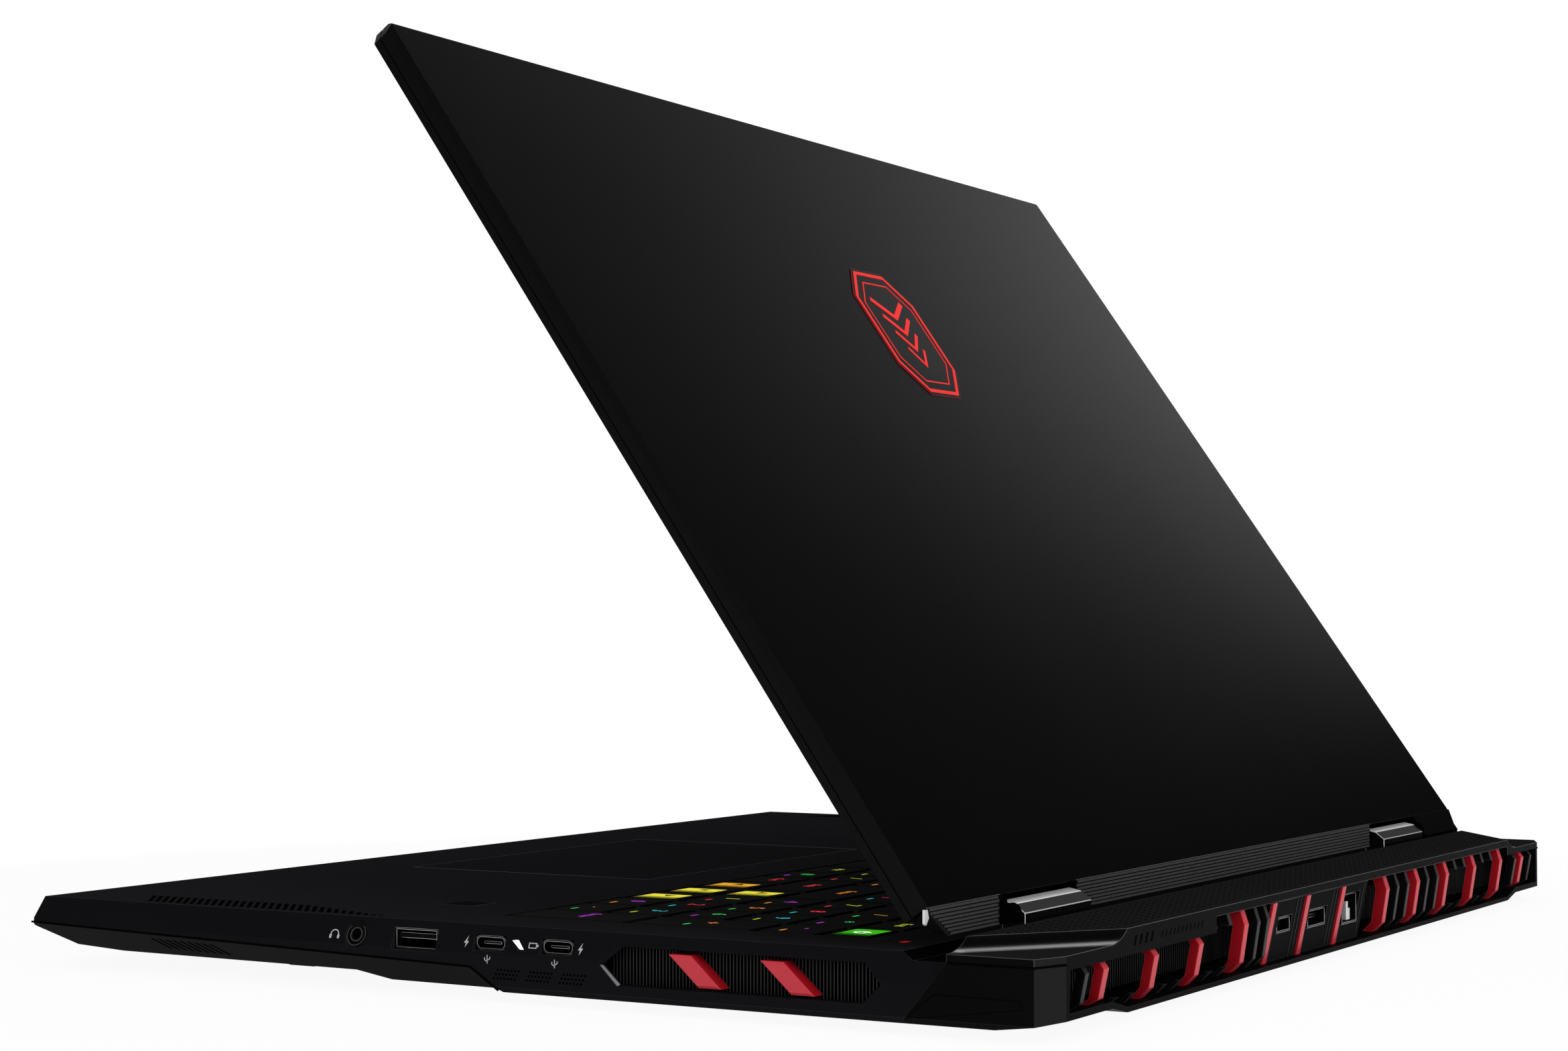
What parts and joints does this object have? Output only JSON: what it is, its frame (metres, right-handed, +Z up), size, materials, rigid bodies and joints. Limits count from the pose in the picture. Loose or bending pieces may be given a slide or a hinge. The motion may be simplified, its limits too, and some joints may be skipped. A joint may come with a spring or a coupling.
{
  "type": "laptop computer",
  "caption": "Wide black laptop with a hinged lid, full keyboard, touchpad, side and rear vents with red fins, and sockets along its sides and back.",
  "frame": {"origin": "on the table under the middle of the footprint", "axes": "+X to the user's right, +Y to the rear, +Z up"},
  "size_m": [0.404, 0.3076, 0.2505],
  "materials": {
    "arrow_cap": "translucent yellow",
    "badge": "red line work on black",
    "battery": "wrapped cells",
    "black_plastic": "fine grain",
    "board": "green board",
    "copper": "copper",
    "deck_metal": "satin anodised, near black",
    "gloss_black": "polished",
    "keycap": "black caps with lit legends",
    "lid_metal": "satin anodised, near black",
    "light": "lit white",
    "power_cap": "translucent green",
    "radiator": "dark fins",
    "red_plastic": "satin red",
    "rubber": "soft",
    "screen": "dark glass",
    "socket_black": "black",
    "steel": "brushed"
  },
  "bodies": {
    "base": {"top_case": "deck_metal", "bottom_cover": "black_plastic", "rear_frame": "black_plastic", "rear_deck_cover": "black_plastic", "rear_fins_red": "red_plastic", "rear_fins_black": "black_plastic", "rear_port_panel": "black_plastic", "power_inlet": "socket_black", "hdmi_socket": "socket_black", "ethernet_socket": "steel", "usb_a_right": "steel", "usb_c_right": "socket_black", "usb_a_left": "steel", "audio_jack": "socket_black", "card_slot": "socket_black", "main_board": "board", "rear_radiators": "radiator", "side_radiators": "radiator", "side_vent_bars": "red_plastic", "heat_spreader": "copper", "heat_pipes": "copper", "hinge_knuckle_right": "gloss_black", "hinge_knuckle_left": "gloss_black", "fan_housings": "black_plastic", "battery_pack": "battery", "memory_modules": "board", "storage_drives": "board", "wireless_card": "board", "speakers": "black_plastic", "charge_light": "light", "fingerprint_sensor": "deck_metal", "touchpad_bracket": "steel", "keyboard_plate": "deck_metal", "feet": "rubber", "bottom_screws": "steel"},
    "lid": {"lid_back_cover": "lid_metal", "screen_bezel": "black_plastic", "display_panel": "screen", "webcam_module": "socket_black", "lid_trim": "black_plastic", "hinge_arm_right": "steel", "hinge_arm_left": "steel", "hinge_pins": "steel", "lid_badge": "badge"},
    "fan_right": {"fan_rotor_right": "black_plastic"},
    "fan_left": {"fan_rotor_left": "black_plastic"},
    "touchpad": {"touchpad": "deck_metal"},
    "keys_function": {"keys_function": "keycap"},
    "keys_number": {"keys_number": "keycap"},
    "keys_upper": {"keys_upper": "keycap"},
    "keys_home": {"keys_home": "keycap"},
    "keys_lower": {"keys_lower": "keycap"},
    "keys_bottom": {"keys_bottom": "keycap"},
    "space_bar": {"space_bar": "keycap"},
    "keys_numpad": {"keys_numpad": "keycap"},
    "arrow_up": {"arrow_up": "arrow_cap"},
    "arrow_left": {"arrow_left": "arrow_cap"},
    "arrow_down": {"arrow_down": "arrow_cap"},
    "arrow_right": {"arrow_right": "arrow_cap"},
    "power_key": {"power_key": "power_cap"}
  },
  "joints": [
    {"name": "lid_hinge", "type": "hinge", "parent": "base", "child": "lid", "pos_m": [0, 0.1228, 0.0246], "axis": [-1, 0, 0], "range_deg": [-54.79, 80]},
    {"name": "fan_spin_right", "type": "hinge", "parent": "base", "child": "fan_right", "pos_m": [0.134, 0.05975, 0.0084], "axis": [0, 0, 1], "continuous": true},
    {"name": "fan_spin_left", "type": "hinge", "parent": "base", "child": "fan_left", "pos_m": [-0.134, 0.05975, 0.0084], "axis": [0, 0, 1], "continuous": true},
    {"name": "keys_function_press", "type": "slide", "parent": "base", "child": "keys_function", "axis": [0, 0, -1], "range_m": [0, 0.0015], "stiffness_N_per_m": 800, "springref_m": -0.0015},
    {"name": "keys_number_press", "type": "slide", "parent": "base", "child": "keys_number", "axis": [0, 0, -1], "range_m": [0, 0.0015], "stiffness_N_per_m": 800, "springref_m": -0.0015},
    {"name": "keys_upper_press", "type": "slide", "parent": "base", "child": "keys_upper", "axis": [0, 0, -1], "range_m": [0, 0.0015], "stiffness_N_per_m": 800, "springref_m": -0.0015},
    {"name": "keys_home_press", "type": "slide", "parent": "base", "child": "keys_home", "axis": [0, 0, -1], "range_m": [0, 0.0015], "stiffness_N_per_m": 800, "springref_m": -0.0015},
    {"name": "keys_lower_press", "type": "slide", "parent": "base", "child": "keys_lower", "axis": [0, 0, -1], "range_m": [0, 0.0015], "stiffness_N_per_m": 800, "springref_m": -0.0015},
    {"name": "keys_bottom_press", "type": "slide", "parent": "base", "child": "keys_bottom", "axis": [0, 0, -1], "range_m": [0, 0.0015], "stiffness_N_per_m": 800, "springref_m": -0.0015},
    {"name": "space_bar_press", "type": "slide", "parent": "base", "child": "space_bar", "axis": [0, 0, -1], "range_m": [0, 0.0015], "stiffness_N_per_m": 200, "springref_m": -0.0015},
    {"name": "keys_numpad_press", "type": "slide", "parent": "base", "child": "keys_numpad", "axis": [0, 0, -1], "range_m": [0, 0.0015], "stiffness_N_per_m": 800, "springref_m": -0.0015},
    {"name": "arrow_up_press", "type": "slide", "parent": "base", "child": "arrow_up", "axis": [0, 0, -1], "range_m": [0, 0.0015], "stiffness_N_per_m": 200, "springref_m": -0.0015},
    {"name": "arrow_left_press", "type": "slide", "parent": "base", "child": "arrow_left", "axis": [0, 0, -1], "range_m": [0, 0.0015], "stiffness_N_per_m": 200, "springref_m": -0.0015},
    {"name": "arrow_down_press", "type": "slide", "parent": "base", "child": "arrow_down", "axis": [0, 0, -1], "range_m": [0, 0.0015], "stiffness_N_per_m": 200, "springref_m": -0.0015},
    {"name": "arrow_right_press", "type": "slide", "parent": "base", "child": "arrow_right", "axis": [0, 0, -1], "range_m": [0, 0.0015], "stiffness_N_per_m": 200, "springref_m": -0.0015},
    {"name": "power_key_press", "type": "slide", "parent": "base", "child": "power_key", "axis": [0, 0, -1], "range_m": [0, 0.0015], "stiffness_N_per_m": 200, "springref_m": -0.0015},
    {"name": "touchpad_click", "type": "slide", "parent": "base", "child": "touchpad", "axis": [0, 0, -1], "range_m": [0, 0.0003], "stiffness_N_per_m": 3000, "springref_m": -0.0003}
  ]
}
